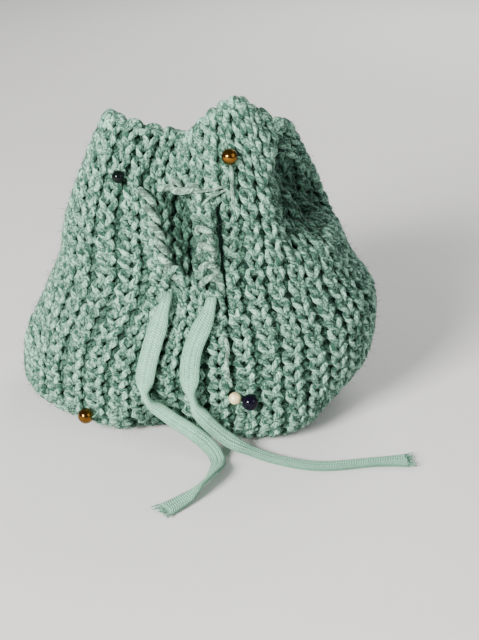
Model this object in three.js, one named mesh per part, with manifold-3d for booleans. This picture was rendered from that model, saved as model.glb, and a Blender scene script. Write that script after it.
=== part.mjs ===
// A small hand-knitted drawstring pouch, standing on its base.
// Millimetres, +Z up, front towards -Y, origin in the middle of the resting base.
import * as THREE from 'three';
import { mergeVertices } from 'three/addons/utils/BufferGeometryUtils.js';
import Module from 'manifold-3d';

// Driving dimensions
const WALL = 4.4; // ribbed knit, both faces
const GAP = 0.3; // clearance between neighbouring pieces
const COLUMNS = 90; // facets round the wall
const FRONT_CROWDING = 2.2; // how much closer the columns stand across the folds of the front
const FOLDED_HALF = 24; // half the width of the folded front
const NECK_Z = 48.5; // level of the drawstring

const TAPE_WIDTH = 6;
const TAPE_THICK = 1.4;
const NECK_TAPE_WIDTH = 5.4; // a little narrower where it is drawn tight
const NECK_TAPE_THICK = 1.2;
const CHANNEL_DEPTH = 1.6; // recess in the inner face that carries the neck tape
const CHANNEL_HEIGHT = NECK_TAPE_WIDTH + 6 * GAP;
const WAIST_PINCH = 1.6; // how far the drawstring draws the wall in
const WAIST_HEIGHT = 9;

const SLIT_WIDTH = TAPE_WIDTH + 4 * GAP;
const SLIT_HEIGHT = TAPE_THICK + 4 * GAP;
const SLIT_REACH = 16; // length of the cut through the wall
const SLIT_Z = 47.6;
const SLITS = { left: { x: -9.2 }, right: { x: 4.2 } };

const BEAD_HOLE = 1.1; // diameter of the hole through each bead
const BEAD_SIDES = 18; // facets round each bead
const BEAD_STEPS = 12; // facets from hole to hole

// Outline of the belly at each level: how far it reaches from the axis on each side, and its turn.
// rise runs from 0 at the base edge to 1 at the drawstring.
const SECTIONS = [
  { name: 'base_edge', rise: 0, z: 0, left: 47, right: 38.5, front: 37.5, back: 31, turn: -9 },
  { name: 'foot', rise: 0.1, z: 2.2, left: 54.5, right: 44, front: 43, back: 36, turn: -9 },
  { name: 'low_belly', rise: 0.26, z: 9, left: 60.6, right: 51, front: 46.5, back: 41, turn: -8 },
  { name: 'belly', rise: 0.46, z: 20, left: 59.3, right: 57.5, front: 46.5, back: 44, turn: -6 },
  { name: 'high_belly', rise: 0.7, z: 33, left: 53.5, right: 58.5, front: 44, back: 43.5, turn: -3 },
  { name: 'neck', rise: 1, z: NECK_Z, left: 48, right: 51, front: 38.5, back: 38, turn: 0 },
];
const SQUARENESS = 2.35; // 2 is an ellipse, more is boxier
const COLLAR_START = 0.55; // slope of the collar at the drawstring, as a share of its mean slope
const EVEN_RISE = 0.4; // level at which the ribs are evenly spaced

// The rim, drawn into lobes with valleys between them: reach from RIM_CENTRE and height.
const RIM_CENTRE = { x: 0, y: 2 };
const RIM = [
  { name: 'back_right_lobe', angle: 30, reach: 34, height: 87 },
  { name: 'back_valley', angle: 76, reach: 16, height: 80 },
  { name: 'back_left_lobe', angle: 120, reach: 27, height: 82 },
  { name: 'left_valley', angle: 160, reach: 21, height: 87 },
  { name: 'front_left_lobe', angle: 203, reach: 31.5, height: 96.5 },
  { name: 'front_valley', angle: 246, reach: 15, height: 90.5 },
  { name: 'front_right_lobe', angle: 300, reach: 26, height: 102.5 },
  { name: 'front_right_edge', angle: 322, reach: 27, height: 98 },
  { name: 'right_valley', angle: 352, reach: 11, height: 88 },
];

// Folds of the wall, each along a line from its top to its foot as seen from one side:
// top and foot are measured along X on the front, and along Y on the right.
const FOLDS = [
  { name: 'left_ridge', side: 'front', top: -17, topZ: 79, foot: -10, footZ: 57, half: 5.5, lift: 2 },
  { name: 'right_ridge', side: 'front', top: 1, topZ: 73, foot: 4.5, footZ: 57, half: 5.5, lift: 2.4 },
  { name: 'pocket', side: 'front', top: -6.5, topZ: 73, foot: -3, footZ: 59, half: 7, lift: -6 },
  { name: 'crease', side: 'front', top: 8, topZ: 72, foot: 9, footZ: 57, half: 4.5, lift: -2 },
  { name: 'right_tuck', side: 'right', top: -12, topZ: 84, foot: 8, footZ: 64, half: 10, lift: -6.5 },
  { name: 'lobe_edge', side: 'front', top: 31, topZ: 80, foot: 35, footZ: 66, half: 11, lift: -7 },
  { name: 'front_corner', side: 'front', top: 28, topZ: 5, foot: 24, footZ: 0, half: 15, lift: 4 },
  { name: 'base_hollow', side: 'front', top: -13, topZ: 3, foot: -7, footZ: 0, half: 14, lift: -6 },
];

// Free ends of the tape: points from the slit to the cut end, and which way its face is turned.
const FACES = {
  up: [0, 0, 1],
  slope: [0, -0.6, 0.8],
  front: [0, -1, 0.2],
  left: [-0.17, -1, 0.15],
  twisted: [-0.85, -0.5, 0.1],
  lean: [-0.35, 0.1, 0.93],
  tipped: [-0.6, 0.35, 0.72],
};
const TAPE_STEPS = 48;
const TAPE_EDGE = 0.5; // how far the tape's edges are rounded
const LEFT_TAPE = [
  { x: -9.2, y: -34.5, z: 47.6, face: 'up' },
  { x: -9.2, y: -37.0, z: 47.5, face: 'up' },
  { x: -9.6, y: -39.4, z: 46.6, face: 'slope' },
  { x: -10.7, y: -41.0, z: 43.4, face: 'left' },
  { x: -12.2, y: -42.9, z: 38.8, face: 'left' },
  { x: -13.8, y: -44.4, z: 33.8, face: 'left' },
  { x: -15.2, y: -45.7, z: 28.6, face: 'left' },
  { x: -16.0, y: -46.9, z: 24.0, face: 'left' },
  { x: -16.2, y: -48.2, z: 20.4, face: 'twisted' },
  { x: -15.0, y: -48.6, z: 17.6, face: 'twisted' },
  { x: -11.4, y: -48.4, z: 14.5, face: 'left' },
  { x: -7.1, y: -48.9, z: 11.2, face: 'front' },
  { x: -2.4, y: -49.6, z: 8.2, face: 'front' },
  { x: 1.6, y: -50.6, z: 5.3, face: 'slope' },
  { x: 4.6, y: -52.4, z: 2.7, face: 'slope' },
  { x: 6.1, y: -55.8, z: 1.1, face: 'up' },
  { x: 5.8, y: -61.2, z: 2.0, face: 'lean' },
  { x: 4.0, y: -67.2, z: 2.7, face: 'tipped' },
  { x: 1.0, y: -72.4, z: 2.6, face: 'tipped' },
  { x: -3.0, y: -77.2, z: 1.4, face: 'up' },
  { x: -8.2, y: -82.0, z: 0.8, face: 'up' },
];
const RIGHT_TAPE = [
  { x: 4.2, y: -34.8, z: 47.6, face: 'up' },
  { x: 4.2, y: -37.3, z: 47.5, face: 'up' },
  { x: 4.0, y: -39.8, z: 46.5, face: 'slope' },
  { x: 3.1, y: -41.3, z: 43.4, face: 'front' },
  { x: 1.0, y: -43.4, z: 39.2, face: 'front' },
  { x: -1.2, y: -45.3, z: 34.2, face: 'front' },
  { x: -2.2, y: -46.7, z: 29.6, face: 'front' },
  { x: -2.4, y: -48.0, z: 25.0, face: 'front' },
  { x: -2.0, y: -49.7, z: 20.8, face: 'twisted' },
  { x: -1.0, y: -50.4, z: 17.6, face: 'twisted' },
  { x: 0.9, y: -50.4, z: 14.2, face: 'front' },
  { x: 4.8, y: -50.2, z: 9.4, face: 'slope' },
  { x: 9.8, y: -50.2, z: 5.0, face: 'slope' },
  { x: 15.9, y: -50.8, z: 1.9, face: 'up' },
  { x: 22.0, y: -53.2, z: 0.8, face: 'up' },
  { x: 28.0, y: -56.0, z: 0.8, face: 'up' },
  { x: 34.0, y: -57.8, z: 0.8, face: 'up' },
  { x: 40.0, y: -58.0, z: 0.8, face: 'up' },
  { x: 46.0, y: -57.1, z: 0.8, face: 'up' },
  { x: 52.2, y: -55.9, z: 0.8, face: 'up' },
  { x: 63.5, y: -54.8, z: 0.8, face: 'up' },
];

const BEADS = [
  { name: 'bead_dark_top', x: -24, rise: 1.69, size: 4.0, colour: 0x15201c, rough: 0.15, metal: 0.3 },
  { name: 'bead_gold_top', x: 9.8, rise: 1.745, size: 5.0, colour: 0xb8862f, rough: 0.2, metal: 1 },
  { name: 'bead_gold_base', x: -35, rise: 0.24, size: 5.0, colour: 0xa9792a, rough: 0.2, metal: 1 },
  { name: 'bead_cream_base', x: 11.2, rise: 0.43, size: 3.8, colour: 0xe9d9a8, rough: 0.25, metal: 0.2 },
  { name: 'bead_dark_base', x: 15.7, rise: 0.41, size: 5.2, colour: 0x1a1526, rough: 0.12, metal: 0.3 },
];

const KNIT_COLOUR = 0x8fb5a3;
const TAPE_COLOUR = 0xb9d0c2;
const KNIT_ROUGH = 0.95;
const TAPE_ROUGH = 0.85;

const FULL_TURN = 2 * Math.PI;
const NUDGE = 0.004; // step in angle and rise between the points that give the wall's slope
const HALVINGS = 30; // steps of each search for a place on the wall
const ROUND_SAMPLES = 720; // points round the belly that its girth is measured through
const { degToRad, clamp, lerp } = THREE.MathUtils;

// Smooth value of a table's column at a rise, with no overshoot between its rows.
function along(rows, column, at) {
  const steep = (k) => (rows[k + 1][column] - rows[k][column]) / (rows[k + 1].rise - rows[k].rise);
  const slope = (k) => {
    if (k === 0) return steep(0);
    if (k === rows.length - 1) return steep(k - 1);
    const [before, after] = [steep(k - 1), steep(k)];
    return before * after <= 0 ? 0 : (2 * before * after) / (before + after);
  };
  let k = rows.length - 2;
  while (k > 0 && rows[k].rise > at) k -= 1;
  const span = rows[k + 1].rise - rows[k].rise;
  const t = (at - rows[k].rise) / span;
  const rest = 1 - t;
  return rows[k][column] * (1 + 2 * t) * rest * rest + slope(k) * span * t * rest * rest
    + rows[k + 1][column] * t * t * (3 - 2 * t) - slope(k + 1) * span * t * t * rest;
}

// Value of a rim column at an angle: each lobe and valley is a turning point.
function aroundRim(column, angle) {
  const turn = (degrees) => THREE.MathUtils.euclideanModulo(degrees, 360);
  const degrees = turn(THREE.MathUtils.radToDeg(angle) - RIM[0].angle);
  const starts = RIM.map((row) => turn(row.angle - RIM[0].angle));
  let k = RIM.length - 1;
  while (starts[k] > degrees) k -= 1;
  const next = (k + 1) % RIM.length;
  const end = next === 0 ? 360 : starts[next];
  const t = (degrees - starts[k]) / (end - starts[k]);
  return lerp(RIM[k][column], RIM[next][column], (1 - Math.cos(Math.PI * t)) / 2);
}

function bellyPoint(angle, rise) {
  const own = angle - degToRad(along(SECTIONS, 'turn', rise));
  const wide = along(SECTIONS, Math.cos(own) < 0 ? 'left' : 'right', rise);
  const deep = along(SECTIONS, Math.sin(own) < 0 ? 'front' : 'back', rise);
  const reach = (Math.abs(Math.cos(own) / wide) ** SQUARENESS
    + Math.abs(Math.sin(own) / deep) ** SQUARENESS) ** (-1 / SQUARENESS);
  return new THREE.Vector3(reach * Math.cos(angle), reach * Math.sin(angle), along(SECTIONS, 'z', rise));
}

// rise 1 to 2 is the collar, from the drawstring to the rim.
function collarPoint(angle, rise) {
  const neck = bellyPoint(angle, 1);
  const reach = aroundRim('reach', angle);
  const rim = new THREE.Vector3(
    RIM_CENTRE.x + reach * Math.cos(angle),
    RIM_CENTRE.y + reach * Math.sin(angle),
    aroundRim('height', angle),
  );
  const climb = rise - 1;
  const inward = climb * lerp(COLLAR_START, 1, climb);
  return new THREE.Vector3(
    lerp(neck.x, rim.x, inward),
    lerp(neck.y, rim.y, inward),
    lerp(neck.z, rim.z, climb),
  );
}

const SIDES = {
  front: ({ x, y }) => ({ across: x, facing: y < 0 }),
  right: ({ x, y }) => ({ across: y, facing: x > 0 }),
};

// How far the folds push the wall in or out at a point.
function foldLift(point) {
  let lift = 0;
  for (const fold of FOLDS) {
    const { across, facing } = SIDES[fold.side](point);
    const run = new THREE.Vector2(fold.foot - fold.top, fold.footZ - fold.topZ);
    const from = new THREE.Vector2(across - fold.top, point.z - fold.topZ);
    const t = clamp(from.dot(run) / run.lengthSq(), 0, 1);
    const off = from.sub(run.multiplyScalar(t)).length() / fold.half;
    if (facing && off < 1) lift += fold.lift * (1 - off * off) ** 2;
  }
  return lift;
}

// Outer face of the pouch.
function outerPoint(angle, rise) {
  const point = rise <= 1 ? bellyPoint(angle, rise) : collarPoint(angle, rise);
  const out = new THREE.Vector3(Math.cos(angle), Math.sin(angle), 0);
  const near = (point.z - NECK_Z) / WAIST_HEIGHT;
  const push = foldLift(point) - WAIST_PINCH * Math.exp(-near * near);
  return point.addScaledVector(out, push);
}

function outerNormal(angle, rise) {
  const low = Math.max(rise - NUDGE, 0);
  const high = Math.min(rise + NUDGE, 2);
  const round = outerPoint(angle + NUDGE, rise).sub(outerPoint(angle - NUDGE, rise));
  const up = outerPoint(angle, high).sub(outerPoint(angle, low));
  return round.cross(up).normalize();
}

// A point below the outer face, never under the floor of the hollow.
function innerPoint(angle, rise, depth) {
  const point = outerPoint(angle, rise).addScaledVector(outerNormal(angle, rise), -depth);
  point.z = Math.max(point.z, WALL);
  return point;
}

// A point of the channel: a height on the outer face, and a depth square to the wall at the drawstring.
function channelPoint(angle, z, depth) {
  const square = outerNormal(angle, riseAt(angle, NECK_Z));
  return outerPoint(angle, riseAt(angle, z)).addScaledVector(square, -depth);
}

// Angles of the columns round the belly, closer together at the front, where the folds are.
function columnAngles(count) {
  const lengths = [0];
  for (let k = 0; k < ROUND_SAMPLES; k += 1) {
    const here = bellyPoint((FULL_TURN * k) / ROUND_SAMPLES, EVEN_RISE);
    const next = bellyPoint((FULL_TURN * (k + 1)) / ROUND_SAMPLES, EVEN_RISE);
    const crowding = here.y < 0 && Math.abs(here.x) < FOLDED_HALF ? FRONT_CROWDING : 1;
    lengths.push(lengths[k] + here.distanceTo(next) * crowding);
  }
  const angles = [];
  let k = 0;
  for (let column = 0; column < count; column += 1) {
    const wanted = (lengths[ROUND_SAMPLES] * column) / count;
    while (lengths[k + 1] <= wanted) k += 1;
    const t = (wanted - lengths[k]) / (lengths[k + 1] - lengths[k]);
    angles.push((FULL_TURN * (k + t)) / ROUND_SAMPLES);
  }
  return angles;
}

// A closed solid from rings of points, each ring joined to the next and the ends closed by fans.
function ringSolid(rings, startPoint, endPoint) {
  const count = rings[0].length;
  const points = [startPoint, ...rings.flat(), endPoint];
  const index = [];
  const at = (ring, k) => 1 + ring * count + (k % count);
  for (let k = 0; k < count; k += 1) {
    index.push(0, at(0, k + 1), at(0, k));
    for (let ring = 0; ring + 1 < rings.length; ring += 1) {
      const [a, b, c, d] = [at(ring, k), at(ring, k + 1), at(ring + 1, k + 1), at(ring + 1, k)];
      const shorter = points[a].distanceTo(points[c]) < points[b].distanceTo(points[d]);
      index.push(...(shorter ? [a, b, c, a, c, d] : [a, b, d, b, c, d]));
    }
    index.push(at(rings.length - 1, k), at(rings.length - 1, k + 1), points.length - 1);
  }
  const geometry = new THREE.BufferGeometry().setFromPoints(points);
  geometry.setIndex(index);
  return geometry;
}

const OUTER_RISES = [0, 0.05, 0.1, 0.18, 0.26, 0.36, 0.46, 0.58, 0.7, 0.82, 0.92,
  1, 1.08, 1.17, 1.26, 1.35, 1.44, 1.53, 1.62, 1.71, 1.8, 1.9, 2];
const COLLAR_RISES = [2, 1.9, 1.8, 1.7, 1.6, 1.5, 1.4, 1.3, 1.2];
const HOLLOW_RISES = [0.84, 0.74, 0.62, 0.5, 0.4, 0.3, 0.2, 0.1, 0];

// The rise at which the outer face is at a height.
function riseAt(angle, z) {
  let [low, high] = [0, 2];
  for (let k = 0; k < HALVINGS; k += 1) {
    const middle = (low + high) / 2;
    if (outerPoint(angle, middle).z < z) low = middle;
    else high = middle;
  }
  return low;
}

// The angle at which the front face is at a distance across, at a rise.
function frontAngle(x, rise) {
  let [low, high] = [Math.PI, FULL_TURN];
  for (let k = 0; k < HALVINGS; k += 1) {
    const middle = (low + high) / 2;
    if (outerPoint(middle, rise).x < x) low = middle;
    else high = middle;
  }
  return low;
}

const ANGLES = columnAngles(COLUMNS);

function pouchShell() {
  const outer = OUTER_RISES.map((rise) => ANGLES.map((angle) => outerPoint(angle, rise)));
  const collar = COLLAR_RISES.map((rise) => ANGLES.map((angle) => innerPoint(angle, rise, WALL)));
  const half = CHANNEL_HEIGHT / 2;
  const channel = [
    { z: NECK_Z + half + GAP, depth: WALL },
    { z: NECK_Z + half, depth: WALL - CHANNEL_DEPTH },
    { z: NECK_Z - half, depth: WALL - CHANNEL_DEPTH },
    { z: NECK_Z - half - GAP, depth: WALL },
  ].map(({ z, depth }) => ANGLES.map((angle) => channelPoint(angle, z, depth)));
  const hollow = HOLLOW_RISES.map((rise) => ANGLES.map((angle) => innerPoint(angle, rise, WALL)));
  const rings = [...outer, ...collar, ...channel, ...hollow];
  return ringSolid(rings, new THREE.Vector3(0, 0, 0), new THREE.Vector3(0, 0, WALL));
}

const wasm = await Module();
wasm.setup();

function solidOf(geometry) {
  const bare = geometry.clone();
  bare.deleteAttribute('normal');
  bare.deleteAttribute('uv');
  const merged = mergeVertices(bare);
  return new wasm.Manifold(new wasm.Mesh({
    numProp: 3,
    vertProperties: Float32Array.from(merged.attributes.position.array),
    triVerts: Uint32Array.from(merged.index.array),
  }));
}

function geometryOf(solid) {
  const mesh = solid.getMesh();
  const geometry = new THREE.BufferGeometry();
  geometry.setAttribute('position', new THREE.BufferAttribute(mesh.vertProperties, mesh.numProp));
  geometry.setIndex(new THREE.BufferAttribute(mesh.triVerts, 1));
  return geometry;
}

// The knitted bag, with the two slits that let the tape out.
function pouchBody() {
  let body = solidOf(pouchShell());
  for (const slit of Object.values(SLITS)) {
    const front = outerPoint(frontAngle(slit.x, 1), 1);
    const cutter = new THREE.BoxGeometry(SLIT_WIDTH, SLIT_REACH, SLIT_HEIGHT);
    cutter.translate(slit.x, front.y, SLIT_Z);
    body = body.subtract(solidOf(cutter));
  }
  return geometryOf(body);
}

// The stretch of tape in the channel: from behind one slit round the back to behind the other.
function neckTape() {
  const past = SLIT_WIDTH / 2;
  const from = frontAngle(SLITS.right.x - past, 1);
  const to = frontAngle(SLITS.left.x + past, 1) + FULL_TURN;
  const outside = WALL - CHANNEL_DEPTH + GAP;
  const corners = [
    { z: NECK_Z + NECK_TAPE_WIDTH / 2, depth: outside },
    { z: NECK_Z - NECK_TAPE_WIDTH / 2, depth: outside },
    { z: NECK_Z - NECK_TAPE_WIDTH / 2, depth: outside + NECK_TAPE_THICK },
    { z: NECK_Z + NECK_TAPE_WIDTH / 2, depth: outside + NECK_TAPE_THICK },
  ];
  const between = [...ANGLES, ...ANGLES.map((angle) => angle + FULL_TURN)]
    .filter((angle) => angle > from && angle < to);
  const rings = [from, ...between, to]
    .map((angle) => corners.map(({ z, depth }) => channelPoint(angle, z, depth)));
  const middle = (ring) => ring[0].clone().add(ring[2]).multiplyScalar(0.5);
  return ringSolid(rings, middle(rings[0]), middle(rings[rings.length - 1]));
}

// A route that keeps the tape's flat face turned as each of its points says.
class TapeRoute extends THREE.CatmullRomCurve3 {
  constructor(rows) {
    super(rows.map((row) => new THREE.Vector3(row.x, row.y, row.z)), false, 'centripetal');
    this.faces = rows.map((row) => new THREE.Vector3(...FACES[row.face]));
  }

  computeFrenetFrames(steps) {
    const frames = { tangents: [], normals: [], binormals: [] };
    for (let k = 0; k <= steps; k += 1) {
      const tangent = this.getTangentAt(k / steps);
      const place = this.getUtoTmapping(k / steps) * (this.faces.length - 1);
      const row = Math.min(Math.floor(place), this.faces.length - 2);
      const face = this.faces[row].clone().lerp(this.faces[row + 1], place - row);
      face.addScaledVector(tangent, -face.dot(tangent)).normalize();
      frames.tangents.push(tangent);
      frames.normals.push(face.clone().cross(tangent));
      frames.binormals.push(face);
    }
    return frames;
  }
}

function tapeSection() {
  const [wide, thick, edge] = [TAPE_WIDTH / 2, TAPE_THICK / 2, TAPE_EDGE];
  return new THREE.Shape([
    [wide, thick - edge], [wide - edge, thick], [edge - wide, thick], [-wide, thick - edge],
    [-wide, edge - thick], [edge - wide, -thick], [wide - edge, -thick], [wide, edge - thick],
  ].map(([x, y]) => new THREE.Vector2(x, y)));
}

function freeTape(rows) {
  return new THREE.ExtrudeGeometry(tapeSection(), {
    steps: TAPE_STEPS,
    extrudePath: new TapeRoute(rows),
  });
}

// A round bead with a hole along its axis.
function beadShape(size) {
  const profile = [];
  const start = Math.asin(BEAD_HOLE / size);
  for (let k = 0; k <= BEAD_STEPS; k += 1) {
    const angle = lerp(start, Math.PI - start, k / BEAD_STEPS);
    profile.push(new THREE.Vector2(Math.sin(angle), -Math.cos(angle)).multiplyScalar(size / 2));
  }
  profile.push(profile[0].clone());
  return new THREE.LatheGeometry(profile, BEAD_SIDES);
}

function finish(colour, roughness, metalness = 0) {
  return new THREE.MeshStandardMaterial({ color: colour, roughness, metalness });
}

function piece(name, geometry, material) {
  const mesh = new THREE.Mesh(geometry, material);
  mesh.name = name;
  return mesh;
}

// Each bead rests on the knit, its hole along the row of stitches.
function sewnBead(bead) {
  const angle = frontAngle(bead.x, bead.rise);
  const normal = outerNormal(angle, bead.rise);
  const mesh = piece(bead.name, beadShape(bead.size), finish(bead.colour, bead.rough, bead.metal));
  mesh.position.copy(outerPoint(angle, bead.rise)).addScaledVector(normal, bead.size / 2 + GAP);
  const across = new THREE.Vector3(0, 0, 1).cross(normal).normalize();
  mesh.quaternion.setFromUnitVectors(new THREE.Vector3(0, 1, 0), across);
  return mesh;
}

const pouch = new THREE.Group();
pouch.add(piece('pouch_body', pouchBody(), finish(KNIT_COLOUR, KNIT_ROUGH)));
pouch.add(piece('drawstring_neck', neckTape(), finish(TAPE_COLOUR, TAPE_ROUGH)));
pouch.add(piece('tape_left', freeTape(LEFT_TAPE), finish(TAPE_COLOUR, TAPE_ROUGH)));
pouch.add(piece('tape_right', freeTape(RIGHT_TAPE), finish(TAPE_COLOUR, TAPE_ROUGH)));
for (const bead of BEADS) pouch.add(sewnBead(bead));

export default pouch;
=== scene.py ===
import math

import bmesh
import bpy
import numpy as np
from mathutils import Matrix, Vector


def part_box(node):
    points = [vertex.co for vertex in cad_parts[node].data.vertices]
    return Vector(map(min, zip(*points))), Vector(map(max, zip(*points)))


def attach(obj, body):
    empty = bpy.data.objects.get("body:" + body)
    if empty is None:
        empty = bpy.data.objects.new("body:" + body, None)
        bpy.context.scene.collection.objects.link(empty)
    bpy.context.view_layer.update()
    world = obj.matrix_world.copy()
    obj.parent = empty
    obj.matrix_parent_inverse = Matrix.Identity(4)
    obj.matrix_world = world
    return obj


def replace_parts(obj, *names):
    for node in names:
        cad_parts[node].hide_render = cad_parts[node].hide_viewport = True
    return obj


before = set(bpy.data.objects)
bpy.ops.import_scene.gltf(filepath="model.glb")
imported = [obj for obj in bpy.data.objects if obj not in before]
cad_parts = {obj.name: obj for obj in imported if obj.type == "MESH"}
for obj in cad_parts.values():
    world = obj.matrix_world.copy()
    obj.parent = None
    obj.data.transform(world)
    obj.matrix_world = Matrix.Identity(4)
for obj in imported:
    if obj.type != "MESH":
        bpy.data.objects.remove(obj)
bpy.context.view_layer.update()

bl_info = {
    "name": "Knitted drawstring pouch",
    "version": (1, 0, 0),
    "blender": (4, 5, 0),
    "location": "View3D > Sidebar > Pouch",
    "description": "Builds the yarn, tape and beads of a ribbed hand-knitted pouch",
    "category": "Object",
}

MM = 0.001
FULL_TURN = 2 * math.pi
SEED = 11

# The wall, as the part's own tables give it, in metres and degrees
WALL = 0.0044
NECK_Z = 0.0485
WAIST_PINCH = 0.0016
WAIST_HEIGHT = 0.009
SQUARENESS = 2.35
COLLAR_START = 0.55
EVEN_RISE = 0.4
NUDGE = 0.004
RIM_RISE = 2.0
SEARCH_STEPS = 40
SPOT_ROUNDS = 8


def columns(names, rows):
    """A table's columns by name, as arrays."""
    return {name: np.array(column) for name, column in zip(names, zip(*rows))}


def eased(share):
    """A smooth step from 0 to 1."""
    return share * share * (3 - 2 * share)


def bell(x):
    return np.exp(-x * x)


def unit(vectors):
    return vectors / np.maximum(np.linalg.norm(vectors, axis=-1, keepdims=True), 1e-12)


def run_length(points):
    """Length along a run of points, from 0 at the first."""
    steps = np.linalg.norm(np.diff(points, axis=0), axis=1)
    return np.concatenate([[0], np.cumsum(steps)])


def run_on(points):
    """Points with one more past either end, in line with the last two."""
    return np.concatenate([[2 * points[0] - points[1]], points, [2 * points[-1] - points[-2]]])


SECTION = columns(
    ("rise", "z", "left", "right", "front", "back", "turn"),
    (
        (0.00, 0.0000, 0.0470, 0.0385, 0.0375, 0.0310, -9.0),
        (0.10, 0.0022, 0.0545, 0.0440, 0.0430, 0.0360, -9.0),
        (0.26, 0.0090, 0.0606, 0.0510, 0.0465, 0.0410, -8.0),
        (0.46, 0.0200, 0.0593, 0.0575, 0.0465, 0.0440, -6.0),
        (0.70, 0.0330, 0.0535, 0.0585, 0.0440, 0.0435, -3.0),
        (1.00, NECK_Z, 0.0480, 0.0510, 0.0385, 0.0380, 0.0),
    ),
)
RIM_CENTRE = (0.0, 0.002)
RIM = columns(
    ("angle", "reach", "height"),
    (
        (30.0, 0.0340, 0.0870),
        (76.0, 0.0160, 0.0800),
        (120.0, 0.0270, 0.0820),
        (160.0, 0.0210, 0.0870),
        (203.0, 0.0315, 0.0965),
        (246.0, 0.0150, 0.0905),
        (300.0, 0.0260, 0.1025),
        (322.0, 0.0270, 0.0980),
        (352.0, 0.0110, 0.0880),
    ),
)
# side, across and height of the top, across and height of the foot, half width, lift
FOLDS = (
    ("front", -0.017, 0.079, -0.010, 0.057, 0.0055, 0.0020),
    ("front", 0.001, 0.073, 0.0045, 0.057, 0.0055, 0.0024),
    ("front", -0.0065, 0.073, -0.003, 0.059, 0.0070, -0.0060),
    ("front", 0.008, 0.072, 0.009, 0.057, 0.0045, -0.0020),
    ("right", -0.012, 0.084, 0.008, 0.064, 0.0100, -0.0065),
    ("front", 0.031, 0.080, 0.035, 0.066, 0.0110, -0.0070),
    ("front", 0.028, 0.005, 0.024, 0.000, 0.0150, 0.0040),
    ("front", -0.013, 0.003, -0.007, 0.000, 0.0140, -0.0060),
)
# Where the stitches sink below the ropes of drawn-up ones, and into the crease of the right shoulder
SINKS = (
    ("front", -0.0158, 0.0770, -0.0066, 0.0510, 0.0045, -0.0010),
    ("front", 0.0016, 0.0690, 0.0045, 0.0500, 0.0050, -0.0012),
    ("front", 0.0262, 0.0760, 0.0274, 0.0680, 0.0014, -0.0015),
    ("front", 0.0274, 0.0680, 0.0350, 0.0632, 0.0014, -0.0016),
    ("front", 0.0350, 0.0632, 0.0400, 0.0596, 0.0014, -0.0012),
)
# Line of the crease that parts the ribs beside the right tape, and of the valley behind the right lobe
PARTING = columns(
    ("rise", "angle"),
    ((0.90, 283.4), (1.08, 283.0), (1.22, 282.5), (1.33, 282.2), (1.50, 282.2)),
)
VALLEY = columns(("rise", "angle"), ((1.45, 346.0), (1.60, 358.0), (1.80, 362.0), (1.95, 368.0)))

# Free ends of the tape, as the part routes them
FACES = {
    "up": (0, 0, 1),
    "slope": (0, -0.6, 0.8),
    "front": (0, -1, 0.2),
    "left": (-0.17, -1, 0.15),
    "twisted": (-0.85, -0.5, 0.1),
    "lean": (-0.35, 0.1, 0.93),
    "tipped": (-0.6, 0.35, 0.72),
}
LEFT_TAPE = (
    (-0.0092, -0.0345, 0.0476, "up"),
    (-0.0092, -0.0370, 0.0475, "up"),
    (-0.0096, -0.0394, 0.0466, "slope"),
    (-0.0107, -0.0410, 0.0434, "left"),
    (-0.0122, -0.0429, 0.0388, "left"),
    (-0.0138, -0.0444, 0.0338, "left"),
    (-0.0152, -0.0457, 0.0286, "left"),
    (-0.0160, -0.0469, 0.0240, "left"),
    (-0.0162, -0.0482, 0.0204, "twisted"),
    (-0.0150, -0.0486, 0.0176, "twisted"),
    (-0.0114, -0.0484, 0.0145, "left"),
    (-0.0071, -0.0489, 0.0112, "front"),
    (-0.0024, -0.0496, 0.0082, "front"),
    (0.0016, -0.0506, 0.0053, "slope"),
    (0.0046, -0.0524, 0.0027, "slope"),
    (0.0061, -0.0558, 0.0011, "up"),
    (0.0058, -0.0612, 0.0020, "lean"),
    (0.0040, -0.0672, 0.0027, "tipped"),
    (0.0010, -0.0724, 0.0026, "tipped"),
    (-0.0030, -0.0772, 0.0014, "up"),
    (-0.0082, -0.0820, 0.0008, "up"),
)
RIGHT_TAPE = (
    (0.0042, -0.0348, 0.0476, "up"),
    (0.0042, -0.0373, 0.0475, "up"),
    (0.0040, -0.0398, 0.0465, "slope"),
    (0.0031, -0.0413, 0.0434, "front"),
    (0.0010, -0.0434, 0.0392, "front"),
    (-0.0012, -0.0453, 0.0342, "front"),
    (-0.0022, -0.0467, 0.0296, "front"),
    (-0.0024, -0.0480, 0.0250, "front"),
    (-0.0020, -0.0497, 0.0208, "twisted"),
    (-0.0010, -0.0504, 0.0176, "twisted"),
    (0.0009, -0.0504, 0.0142, "front"),
    (0.0048, -0.0502, 0.0094, "slope"),
    (0.0098, -0.0502, 0.0050, "slope"),
    (0.0159, -0.0508, 0.0019, "up"),
    (0.0220, -0.0532, 0.0008, "up"),
    (0.0280, -0.0560, 0.0008, "up"),
    (0.0340, -0.0578, 0.0008, "up"),
    (0.0400, -0.0580, 0.0008, "up"),
    (0.0460, -0.0571, 0.0008, "up"),
    (0.0522, -0.0559, 0.0008, "up"),
    (0.0635, -0.0548, 0.0008, "up"),
)
EXIT_POINT = 2  # row of each route at which the tape is out of its slit
SLIT_X = {"left": -0.0092, "right": 0.0042}
SLIT_HALF = 0.0036
NECK_TAPE_WIDTH = 0.0054
NECK_TAPE_DEPTHS = (0.0031, 0.0043)

# Place across the front, rise, diameter and finish of each bead
BEADS = {
    "bead_dark_top": (-0.0240, 1.69, 0.0040, "bead_dark_green"),
    "bead_gold_top": (0.0098, 1.745, 0.0050, "bead_gold"),
    "bead_gold_base": (-0.0350, 0.24, 0.0050, "bead_gold"),
    "bead_cream_base": (0.0112, 0.43, 0.0038, "bead_cream"),
    "bead_dark_base": (0.0157, 0.41, 0.0052, "bead_dark_purple"),
}
BEAD_HOLE = 0.0011
BEAD_SEAT = 0.0014  # how far its thread draws each bead into the soft knit


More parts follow.
